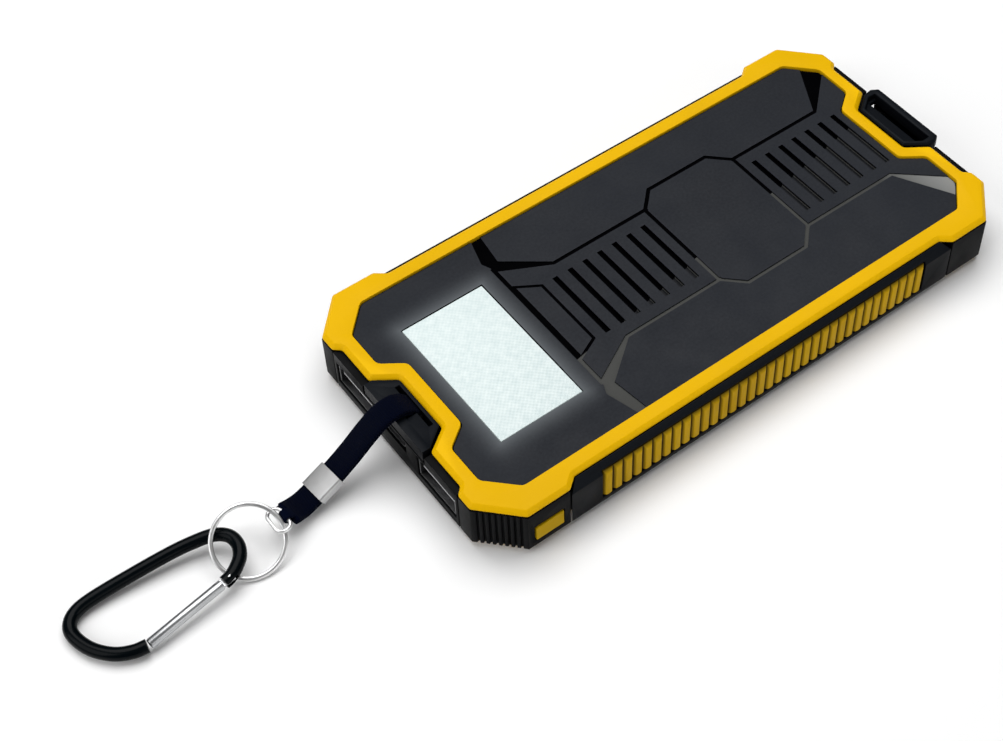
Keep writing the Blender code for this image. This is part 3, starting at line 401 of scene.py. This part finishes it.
def tongue_material(name, low, high):
    """A socket's tongue: grey plastic with a dark slit along the middle of its front, between two heights."""
    m = Nodes(name, (0.5, 0.5, 0.51), 0.4, Specular_IOR_Level=0.4)
    drift = m.mix(m.noise(400.0, 3.0), (0.46, 0.46, 0.47), (0.58, 0.58, 0.59))
    split = m.add("ShaderNodeSeparateXYZ")
    m.link(m.place, split.inputs["Vector"])
    z = split.outputs["Z"]
    slit = m.calculate("MULTIPLY", m.calculate("GREATER_THAN", z, low), m.calculate("LESS_THAN", z, high))
    m.colour(m.mix(slit, drift, (0.02, 0.02, 0.022)))
    m.roughness(m.spread(m.noise(900.0), 0.35, 0.5))
    return m.material


def webbing_material():
    """Flat-woven polyester: fine diagonal yarns across the band."""
    m = Nodes(
        "navy_webbing",
        (0.006, 0.009, 0.022),
        0.8,
        Sheen_Weight=0.01,
        Sheen_Roughness=0.5,
        Specular_IOR_Level=0.03,
    )
    uv = m.add("ShaderNodeUVMap", uv_map="band")
    split = m.add("ShaderNodeSeparateXYZ")
    m.link(uv.outputs["UV"], split.inputs["Vector"])
    across = m.calculate("SINE", m.calculate("MULTIPLY", split.outputs["X"], 2 * math.pi * YARNS_ACROSS))
    along = m.calculate("SINE", m.calculate("MULTIPLY", split.outputs["Y"], 2 * math.pi / YARN_PITCH))
    weave = m.calculate("MULTIPLY", across, along)
    tone = m.spread(weave, 0.0, 1.0, -1.0, 1.0)
    fuzz = m.noise(1800.0, 4.0)
    m.colour(m.mix(m.calculate("MULTIPLY", tone, fuzz), (0.0002, 0.001, 0.006), (0.0008, 0.003, 0.017)))
    m.roughness(m.spread(fuzz, 0.7, 0.92))
    m.normal(m.bump(weave, 0.00012, 0.9, m.bump(fuzz, 0.00003, 0.5)))
    return m.material


def silicon_material():
    """Blue-black crystalline cells with silver fingers."""
    m = Nodes("solar_cell", (0.012, 0.018, 0.06), 0.25)
    flakes = m.add("ShaderNodeTexVoronoi")
    flakes.inputs["Scale"].default_value = 260.0
    m.link(m.place, flakes.inputs["Vector"])
    crystal = m.mix(m.spread(flakes.outputs["Color"], 0.0, 1.0), (0.008, 0.012, 0.045), (0.02, 0.032, 0.11))
    split = m.add("ShaderNodeSeparateXYZ")
    m.link(m.place, split.inputs["Vector"])
    fingers = m.calculate("SINE", m.calculate("MULTIPLY", split.outputs["X"], 2 * math.pi / FINGER_PITCH))
    line = m.spread(fingers, 0.0, 0.75, 0.97, 0.995)
    m.colour(m.mix(line, crystal, (0.55, 0.56, 0.58)))
    m.roughness(m.spread(m.noise(300.0), 0.2, 0.32))
    return m.material


def glass_material():
    m = Nodes("clear_resin", (0.9, 0.95, 1.0), 0.06, Transmission_Weight=1.0, IOR=1.5, Alpha=0.35)
    m.colour(m.mix(m.noise(40.0), (0.88, 0.94, 1.0), (0.95, 0.98, 1.0)))
    m.roughness(m.spread(m.noise(500.0, 3.0), 0.04, 0.1))
    return m.material


def board_material(name, dark, light):
    m = Nodes(name, dark, 0.35)
    split = m.add("ShaderNodeSeparateXYZ")
    m.link(m.place, split.inputs["Vector"])
    tracks = m.calculate(
        "MULTIPLY",
        m.calculate("SINE", m.calculate("MULTIPLY", split.outputs["X"], 2600.0)),
        m.calculate("SINE", m.calculate("MULTIPLY", split.outputs["Y"], 1900.0)),
    )
    m.colour(m.mix(m.spread(tracks, 0.0, 1.0, 0.3, 0.5), dark, light))
    m.normal(m.bump(tracks, 0.00003, 0.3))
    return m.material


def foil_material():
    m = Nodes("pouch_foil", (0.7, 0.71, 0.73), 0.32, 0.9)
    m.colour(m.mix(m.noise(60.0, 4.0), (0.62, 0.63, 0.65), (0.78, 0.79, 0.8)))
    m.normal(m.bump(m.noise(120.0, 5.0), 0.0002, 0.6))
    return m.material


def floor_material():
    m = Nodes("pale_floor", (0.955, 0.955, 0.955), 0.8, Specular_IOR_Level=0.2)
    m.colour(m.mix(m.noise(3.0, 3.0), (0.95, 0.95, 0.95), (0.96, 0.96, 0.96)))
    return m.material


# ---------------------------------------------------------------- camera, floor and light


def camera():
    data = bpy.data.cameras.new("studio_camera")
    data.lens = LENS
    data.sensor_width = SENSOR
    data.sensor_fit = "HORIZONTAL"
    data.shift_x, data.shift_y = SHIFT
    data.clip_start = 0.01
    data.clip_end = 20.0
    eye = bpy.data.objects.new("studio_camera", data)
    bpy.context.scene.collection.objects.link(eye)
    back = -LOOK.normalized()
    up = (-DOWN + DOWN.dot(back) * back).normalized()
    side = up.cross(back)
    turn = Matrix((side, up, back)).transposed().to_4x4()
    eye.matrix_world = Matrix.Translation(at(*EYE)) @ turn
    bpy.context.scene.camera = eye


def area_light(name, where, size, power):
    data = bpy.data.lights.new(name, "AREA")
    data.shape = "RECTANGLE"
    data.size, data.size_y = size
    data.energy = power
    lamp = bpy.data.objects.new(name, data)
    bpy.context.scene.collection.objects.link(lamp)
    lamp.location = where
    lamp.rotation_euler = (LIGHT_AIM - Vector(where)).to_track_quat("-Z", "Y").to_euler()


def studio():
    shape = bmesh.new()
    bmesh.ops.create_grid(shape, x_segments=1, y_segments=1, size=3.0)
    mesh = bpy.data.meshes.new("floor")
    shape.to_mesh(mesh)
    shape.free()
    floor = bpy.data.objects.new("floor", mesh)
    floor.location.z = -0.0001
    mesh.materials.append(floor_material())
    bpy.context.scene.collection.objects.link(floor)

    area_light("overhead_softbox", (0.1, 0.25, 0.9), (1.0, 0.8), 9.0)
    area_light("left_softbox", (-0.8, 0.1, 0.5), (0.7, 0.7), 3.2)
    area_light("front_softbox", (0.1, -0.9, 0.35), (0.9, 0.5), 2.0)
    world = bpy.data.worlds.new("studio")
    world.use_nodes = True
    # A dim room, a little less dim overhead than at the horizon: the softboxes give nearly all the light
    tree = world.node_tree
    direction = tree.nodes.new("ShaderNodeSeparateXYZ")
    tree.links.new(tree.nodes.new("ShaderNodeTexCoord").outputs["Generated"], direction.inputs["Vector"])
    brightness = tree.nodes.new("ShaderNodeMapRange")
    brightness.inputs["From Min"].default_value = 0.05
    brightness.inputs["From Max"].default_value = 0.7
    brightness.inputs["To Min"].default_value = 0.3
    brightness.inputs["To Max"].default_value = 2.7
    height = tree.nodes.new("ShaderNodeMath")
    height.operation = "ABSOLUTE"
    tree.links.new(direction.outputs["Z"], height.inputs[0])
    tree.links.new(height.outputs["Value"], brightness.inputs["Value"])
    tree.links.new(brightness.outputs["Result"], tree.nodes["Background"].inputs["Strength"])
    bpy.context.scene.world = world
    bpy.context.scene.view_settings.view_transform = "Standard"


# ---------------------------------------------------------------- strap


def strap():
    """The doubled webbing with rounded selvedges, as a cord that carries its hem and the metal pieces."""
    cloth = webbing_material()
    route = [at(*p) for p in smooth_route(STRAP_POINTS, 6)]
    half_w, half_t = STRAP_WIDTH / 2 * MM, STRAP_THICK / 2 * MM
    # Half the section, from the top middle round to the bottom middle; a groove parts the two layers
    outline = [
        (0.0, 1.0),
        (0.45, 1.0),
        (0.86, 0.96),
        (0.97, 0.78),
        (1.0, 0.5),
        (0.97, 0.2),
        (0.9, 0.0),
        (0.97, -0.2),
        (1.0, -0.5),
        (0.97, -0.78),
        (0.86, -0.96),
        (0.45, -1.0),
        (0.0, -1.0),
    ]
    section = outline + [(-a, b) for a, b in outline[-2:0:-1]]
    shape = bmesh.new()
    uv = shape.loops.layers.uv.new("band")
    loops = []
    travelled = [0.0]
    for i, here in enumerate(route):
        before, after = route[max(i - 1, 0)], route[min(i + 1, len(route) - 1)]
        along = (after - before).normalized()
        up = along.cross(Vector((0, 1, 0))).normalized()
        if up.z < 0:
            up = -up
        across = along.cross(up)
        loops.append([shape.verts.new(here + across * (a * half_w) + up * (b * half_t)) for a, b in section])
        if i:
            travelled.append(travelled[-1] + (here - route[i - 1]).length)
    count = len(section)
    for i in range(len(loops) - 1):
        for j in range(count):
            k = (j + 1) % count
            face = shape.faces.new((loops[i][j], loops[i][k], loops[i + 1][k], loops[i + 1][j]))
            corners = ((section[j][0], i), (section[k][0], i), (section[k][0], i + 1), (section[j][0], i + 1))
            for loop, (side, row) in zip(face.loops, corners):
                loop[uv].uv = (side, travelled[row])
    shape.faces.new(loops[0])
    shape.faces.new(loops[-1][::-1])
    bmesh.ops.recalc_face_normals(shape, faces=shape.faces)
    band = object_of("strap_band", shape, cloth, "body")
    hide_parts("strap_webbing")
    on_it = [hem(cloth), crimp(), eyelet(), split_ring(), *carabiner()]
    return band


def swept(route, section, closed=False, side=Vector((0, 1, 0))):
    """A solid that carries a flat section of (across, up) points along a route, keeping one side level."""
    shape = bmesh.new()
    count = len(route)
    loops = []
    for i, here in enumerate(route):
        before = route[i - 1] if closed or i else here
        after = route[(i + 1) % count] if closed or i + 1 < count else here
        along = (after - before).normalized()
        up = along.cross(side).normalized()
        across = up.cross(along)
        loops.append([shape.verts.new(here + across * a + up * b) for a, b in section])
    pairs = list(zip(loops, loops[1:]))
    if closed:
        pairs.append((loops[-1], loops[0]))
    for first, second in pairs:
        for i in range(len(section)):
            j = (i + 1) % len(section)
            shape.faces.new((first[i], first[j], second[j], second[i]))
    if not closed:
        shape.faces.new(loops[0][::-1])
        shape.faces.new(loops[-1])
    bmesh.ops.recalc_face_normals(shape, faces=shape.faces)
    return shape


def circle(radius, sides):
    angles = [2 * math.pi * k / sides for k in range(sides)]
    return [(radius * math.cos(angle), radius * math.sin(angle)) for angle in angles]


def sharpened(piece, angle=35.0):
    piece.data.set_sharp_from_angle(angle=math.radians(angle))
    return piece


def split_ring():
    """Two flat turns of spring wire, one on the other."""
    turn = RING_NORMAL.to_track_quat("Z", "Y").to_matrix()
    turns, steps, wire = 2, 72, 0.27
    route = []
    for k in range(turns * steps + 1):
        angle = 2 * math.pi * k / steps + math.radians(100)
        rise = 0.5 * (k / (turns * steps) * 2 - 1) * wire * 2.1
        local = Vector((RING_RADIUS * math.cos(angle), RING_RADIUS * math.sin(angle), rise))
        route.append((RING_CENTRE + turn @ local + BODY_OFFSET) * MM)
    section = [(a * 0.92, b * 1.8) for a, b in circle(wire * MM, 16)]
    up = Vector(RING_NORMAL)
    ring = sharpened(object_of("split_ring_coil", swept(route, section, side=up), STEEL, "ring"))
    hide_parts("split_ring")
    return ring


def hem(cloth):
    """The tab at the strap's end that wraps round the eyelet's nearer bar."""
    bar = EYELET_CENTRE + Vector((EYELET_X, 0, 0))
    along = Vector((-1.7, 0, 1.3)).normalized()
    up = Vector((1.3, 0, 1.7)).normalized()
    radius, reach = 0.75, 2.0
    inward = Vector((0, 0.45, 0))
    points = [bar - along * reach + up * 0.5 + inward, bar - along * 0.6 + up * radius]
    for step in range(9):
        angle = math.pi * step / 8
        points.append(bar + up * radius * math.cos(angle) + along * radius * math.sin(angle))
    points += [bar - along * 0.6 - up * radius, bar - along * reach - up * 0.5 + inward]
    section = [(a * 1.18 * MM, b * 0.26 * MM) for a, b in ((-1, -1), (1, -1), (1, 1), (-1, 1))]
    tab = object_of("strap_hem", swept([at(*p) for p in points], section), cloth, "body")
    bevel = tab.modifiers.new("rounded", "BEVEL")
    bevel.width = 0.12 * MM
    bevel.segments = 2
    sharpened(tab, 50)
    return tab


def eyelet():
    """The oval wire loop at the strap's end."""
    straight = EYELET_Y - EYELET_X
    route = []
    for k in range(64):
        angle = 2 * math.pi * k / 64
        shift = straight if math.sin(angle) >= 0 else -straight
        offset = Vector((EYELET_X * math.cos(angle), EYELET_X * math.sin(angle) + shift, 0))
        route.append(at(*(EYELET_CENTRE + offset)))
    wire = swept(route, circle(EYELET_WIRE * MM, 16), True, Vector((0, 0, 1)))
    loop = object_of("eyelet_wire", wire, STEEL, "ring")
    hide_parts("strap_eyelet")
    return loop


def crimp():
    """A strip of metal folded round the strap, with its edges meeting underneath."""
    half_w, half_t = STRAP_WIDTH / 2 + 0.35, STRAP_THICK / 2 + 0.45
    wall, corner, seam = 0.25, 0.45, 0.1
    outer = []
    for centre_x, centre_y, start in (
        (half_w - corner, half_t - corner, 0),
        (-half_w + corner, half_t - corner, 90),
        (-half_w + corner, -half_t + corner, 180),
        (half_w - corner, -half_t + corner, 270),
    ):
        for step in range(5):
            angle = math.radians(start + step * 22.5)
            outer.append((centre_x + corner * math.cos(angle), centre_y + corner * math.sin(angle)))
    # The list starts and ends at the seam, in the middle of the underside
    outer = outer[15:] + outer[:15]
    outer = [(seam, -half_t)] + outer + [(-seam, -half_t)]
    scale_x, scale_y = (half_w - wall) / half_w, (half_t - wall) / half_t
    inner = [(x * scale_x if abs(x) > seam else x, y * scale_y) for x, y in outer]
    # The route runs towards -X, which turns the section over
    section = [(x * MM, -y * MM) for x, y in outer + inner[::-1]]
    start, end = at(*CRIMP_START), at(*CRIMP_END)
    route = [start.lerp(end, t) for t in (0.0, 0.04, 0.5, 0.96, 1.0)]
    sleeve = sharpened(object_of("crimp_sleeve", swept(route, section), SATIN_STEEL, "body"), 50)
    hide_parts("strap_crimp")
    return sleeve


def cut(piece, shape):
    """Takes shape out of piece for good."""
    bmesh.ops.recalc_face_normals(shape, faces=shape.faces)
    mesh = bpy.data.meshes.new("cutter")
    shape.to_mesh(mesh)
    shape.free()
    cutter = bpy.data.objects.new("cutter", mesh)
    bpy.context.scene.collection.objects.link(cutter)
    modifier = piece.modifiers.new("cut", "BOOLEAN")
    modifier.operation = "DIFFERENCE"
    modifier.object = cutter
    modifier.solver = "EXACT"
    bpy.context.view_layer.update()
    graph = bpy.context.evaluated_depsgraph_get()
    result = bpy.data.meshes.new_from_object(piece.evaluated_get(graph))
    piece.modifiers.clear()
    piece.data = result
    bpy.data.objects.remove(cutter, do_unlink=True)


def rounded_rod(start, end, radius, sides=24, round_by=0.25):
    """A rod in millimetres whose rims are rounded, as a bmesh in metres."""
    start, end = Vector(start), Vector(end)
    along = (end - start).normalized()
    length = (end - start).length
    side = along.orthogonal().normalized()
    up = along.cross(side)
    shape = bmesh.new()
    rings = []
    stations = [(0.0, radius - round_by), (round_by * 0.3, radius - round_by * 0.3), (round_by, radius)]
    stations += [(length - d, r) for d, r in stations[::-1]]
    for distance, r in stations:
        middle = start + along * distance
        points = [middle + side * a + up * b + BODY_OFFSET for a, b in circle(r, sides)]
        rings.append([shape.verts.new(point * MM) for point in points])
    for first, second in zip(rings, rings[1:]):
        for i in range(sides):
            j = (i + 1) % sides
            shape.faces.new((first[i], first[j], second[j], second[i]))
    shape.faces.new(rings[0][::-1])
    shape.faces.new(rings[-1])
    bmesh.ops.recalc_face_normals(shape, faces=shape.faces)
    return shape


def carabiner():
    """The bent rod with its clevis slot, the gate with its slot and spring, and the hinge's rivet."""
    tip = Matrix.Translation(CARABINER_TIP) @ Matrix.Rotation(-CARABINER_PITCH, 4, "Y")
    bends = [
        GATE_HINGE,
        (-5.0, -5.5),
        (-3.2, -4.6),
        (-1.1, -2.8),
        (0.0, -0.2),
        (-0.4, 2.6),
        (-2.6, 4.7),
        (-6.5, 5.9),
        (-12.0, 6.8),
        (-21.0, 7.5),
        (-28.5, 7.8),
        (-32.2, 7.2),
        (-34.3, 5.4),
        (-34.7, 2.6),
        (-33.4, -1.6),
        (-30.6, -5.3),
        (-27.4, -7.3),
        GATE_NOSE,
    ]
    route = [(tip @ Vector(p) + BODY_OFFSET) * MM for p in smooth_route([(x, y, 0) for x, y in bends], 5)]
    level = (tip.to_3x3() @ Vector((0, 0, 1))).normalized()
    rod = object_of(
        "carabiner_rod", swept(route, circle(CARABINER_ROD * MM, 24), side=level), GLOSS_BLACK, "carabiner"
    )
    hinge, nose = Vector((*GATE_HINGE, 0)), Vector((*GATE_NOSE, 0))
    along = (nose - hinge).normalized()
    across = Vector((-along.y, along.x, 0))
    pin = hinge - along * 1.3

    def bar(start, end, half_across, half_up):
        ends = [(tip @ p + BODY_OFFSET) * MM for p in (start, end)]
        corners = ((-1, -1), (1, -1), (1, 1), (-1, 1))
        section = [(a * half_across * MM, b * half_up * MM) for a, b in corners]
        return swept(ends, section, side=(tip.to_3x3() @ across).normalized())

    cut(rod, bar(pin - along * 1.5, hinge + along * 1.0, 2.5, 0.55))
    bevel = rod.modifiers.new("rounded", "BEVEL")
    bevel.width = 0.18 * MM
    bevel.segments = 2
    bevel.limit_method = "ANGLE"
    bevel.angle_limit = math.radians(40)
    sharpened(rod, 50)
    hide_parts("carabiner_body")

    gate = object_of(
        "gate_rod",
        rounded_rod(tip @ (hinge + along * 0.5), tip @ (nose - along * 0.4), GATE_ROD, 28),
        BRUSHED,
        "gate",
    )
    inward = across if across.y > 0 else -across
    cut(gate, bar(hinge + along * 2.0 + inward * 0.9, nose - along * 3.0 + inward * 0.9, 0.5, 0.32))
    sharpened(gate, 40)
    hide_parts("carabiner_gate")
    leaf = bar(pin - along * 0.85, hinge + along * 1.2, 0.85, 0.3)
    tongue = object_of("gate_tongue", leaf, BRUSHED, "gate", False)

    # The coil spring in the gate's groove
    coil_start, coil_end = hinge + along * 2.3 + inward * 0.78, hinge + along * 8.0 + inward * 0.78
    turns, steps = 11, 12
    coil_route = []
    for k in range(turns * steps + 1):
        angle = 2 * math.pi * k / steps
        middle = coil_start.lerp(coil_end, k / (turns * steps))
        point = middle + inward * (0.14 * math.cos(angle)) + Vector((0, 0, 0.14 * math.sin(angle)))
        coil_route.append((tip @ point + BODY_OFFSET) * MM)
    coil = object_of("gate_coil", swept(coil_route, circle(0.06 * MM, 6), side=level), STEEL, "gate")
    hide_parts("gate_spring")

    rivet = object_of(
        "gate_rivet",
        rounded_rod(tip @ (pin - Vector((0, 0, 1.36))), tip @ (pin + Vector((0, 0, 1.36))), 0.48, 20, 0.12),
        STEEL,
        "carabiner",
    )
    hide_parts("gate_pin")
    return [rod, gate, tongue, coil, rivet]


# ---------------------------------------------------------------- making it

camera()
studio()

YELLOW = moulded("yellow_frame", (0.74, 0.42, 0.0004), (0.8, 0.455, 0.0006), 0.45, Specular_IOR_Level=0.05)
BUTTON_YELLOW = moulded(
    "button_yellow",
    (0.4, 0.24, 0.0004),
    (0.5, 0.31, 0.0006),
    0.5,
    Specular_IOR_Level=0.06,
)
# valley paints the valleys between the ribs dark: painted shade.
RIB_YELLOW = moulded(
    "ribbed_yellow",
    (0.46, 0.27, 0.0004),
    (0.58, 0.35, 0.0006),
    0.5,
    valley=(34.85 * MM, 35.4 * MM),
    Specular_IOR_Level=0.06,
)
CHARCOAL = cover_material()
# upper paints faces turned upwards lighter than the sides: painted light from above.
BLACK = moulded(
    "black_plastic",
    (0.0012, 0.0015, 0.0024),
    (0.0025, 0.0031, 0.0046),
    0.42,
    upper=(0.0045, 0.006, 0.0085),
    Specular_IOR_Level=0.06,
)
RUBBER = moulded(
    "black_rubber",
    (0.0008, 0.0009, 0.0012),
    (0.0016, 0.0018, 0.0023),
    0.5,
    Specular_IOR_Level=0.06,
)
LIT = lens_material()
STEEL = metal("polished_steel", (0.82, 0.82, 0.82), 0.34)
BRUSHED = metal("brushed_gate", (0.5, 0.51, 0.52), 0.3, (40, 1, 1))
SATIN_STEEL = metal("satin_crimp", (0.5, 0.5, 0.5), 0.4)
DARK_STEEL = metal("dark_steel", (0.16, 0.16, 0.165), 0.35)
USB_TONGUE = tongue_material("usb_tongue", 7.5 * MM, 8.2 * MM)
MICRO_TONGUE = tongue_material("micro_usb_tongue", 8.25 * MM, 8.4 * MM)
GLOSS_BLACK = moulded(
    "gloss_black",
    (0.0004, 0.0012, 0.0018),
    (0.001, 0.0026, 0.0038),
    0.22,
    Specular_IOR_Level=0.07,
)
GLASS = glass_material()
SILICON = silicon_material()
BOARD = board_material("solder_mask", (0.01, 0.08, 0.035), (0.02, 0.15, 0.07))
BACKSHEET = board_material("white_backsheet", (0.02, 0.025, 0.05), (0.025, 0.03, 0.06))
FOIL = foil_material()
RED = moulded("red_insulation", (0.38, 0.01, 0.01), (0.5, 0.02, 0.02), 0.4)
DARK = moulded("moulded_component", (0.025, 0.025, 0.028), (0.04, 0.04, 0.044), 0.45)

strap()
softened("upper_bezel", YELLOW, 0.35, 3)
softened("lower_bezel", YELLOW, 0.3)
blacken_grooves(softened("light_cover", CHARCOAL, 0.12, 1, flat=True))
for side in ("near", "far"):
    softened(f"side_rail_{side}", BLACK, 0.3)
    softened(f"grip_strip_{side}", RIB_YELLOW, 0.12)
for corner in ("loop_far", "port_far", "port_near", "loop_near"):
    softened(f"corner_bumper_{corner}", RUBBER, 0.15)
for node in ("port_plate", "end_plate"):
    softened(node, RUBBER, 0.2)
softened("strap_anchor", BLACK, 0.4, 3)
softened("hanging_loop", BLACK, 0.3, 3)
softened("power_button", BUTTON_YELLOW, 0.3, 3)
softened("light_lens", LIT, 0.15)
softened("usb_a_tongue_near", USB_TONGUE, 0.12)
softened("usb_a_tongue_far", USB_TONGUE, 0.12)
softened("micro_usb_tongue", MICRO_TONGUE, 0.1)

repaint(BLACK, "mid_frame", "solar_tray")
repaint(LIT, "light_reflector")
repaint(DARK_STEEL, "usb_a_shell_near", "usb_a_shell_far", "micro_usb_shell")
repaint(STEEL, "cover_screw_1", "cover_screw_2", "cover_screw_3", "cover_screw_4")
repaint(GLASS, "panel_glass", "indicator_light_guide")
repaint(SILICON, "solar_string_near", "solar_string_far")
repaint(BACKSHEET, "panel_backsheet")
repaint(BOARD, "led_board", "main_board", "cell_protection_board")
repaint(FOIL, "battery_cell_near", "battery_cell_far")
repaint(RED, "battery_lead_red", "solar_lead_red")
repaint(RUBBER, "battery_lead_black", "solar_lead_black", "light_seal", "solar_seal", "button_return_pad")
repaint(DARK, "tact_switch", "boost_inductor", "controller_chip", "output_capacitor", "light_pin_header")
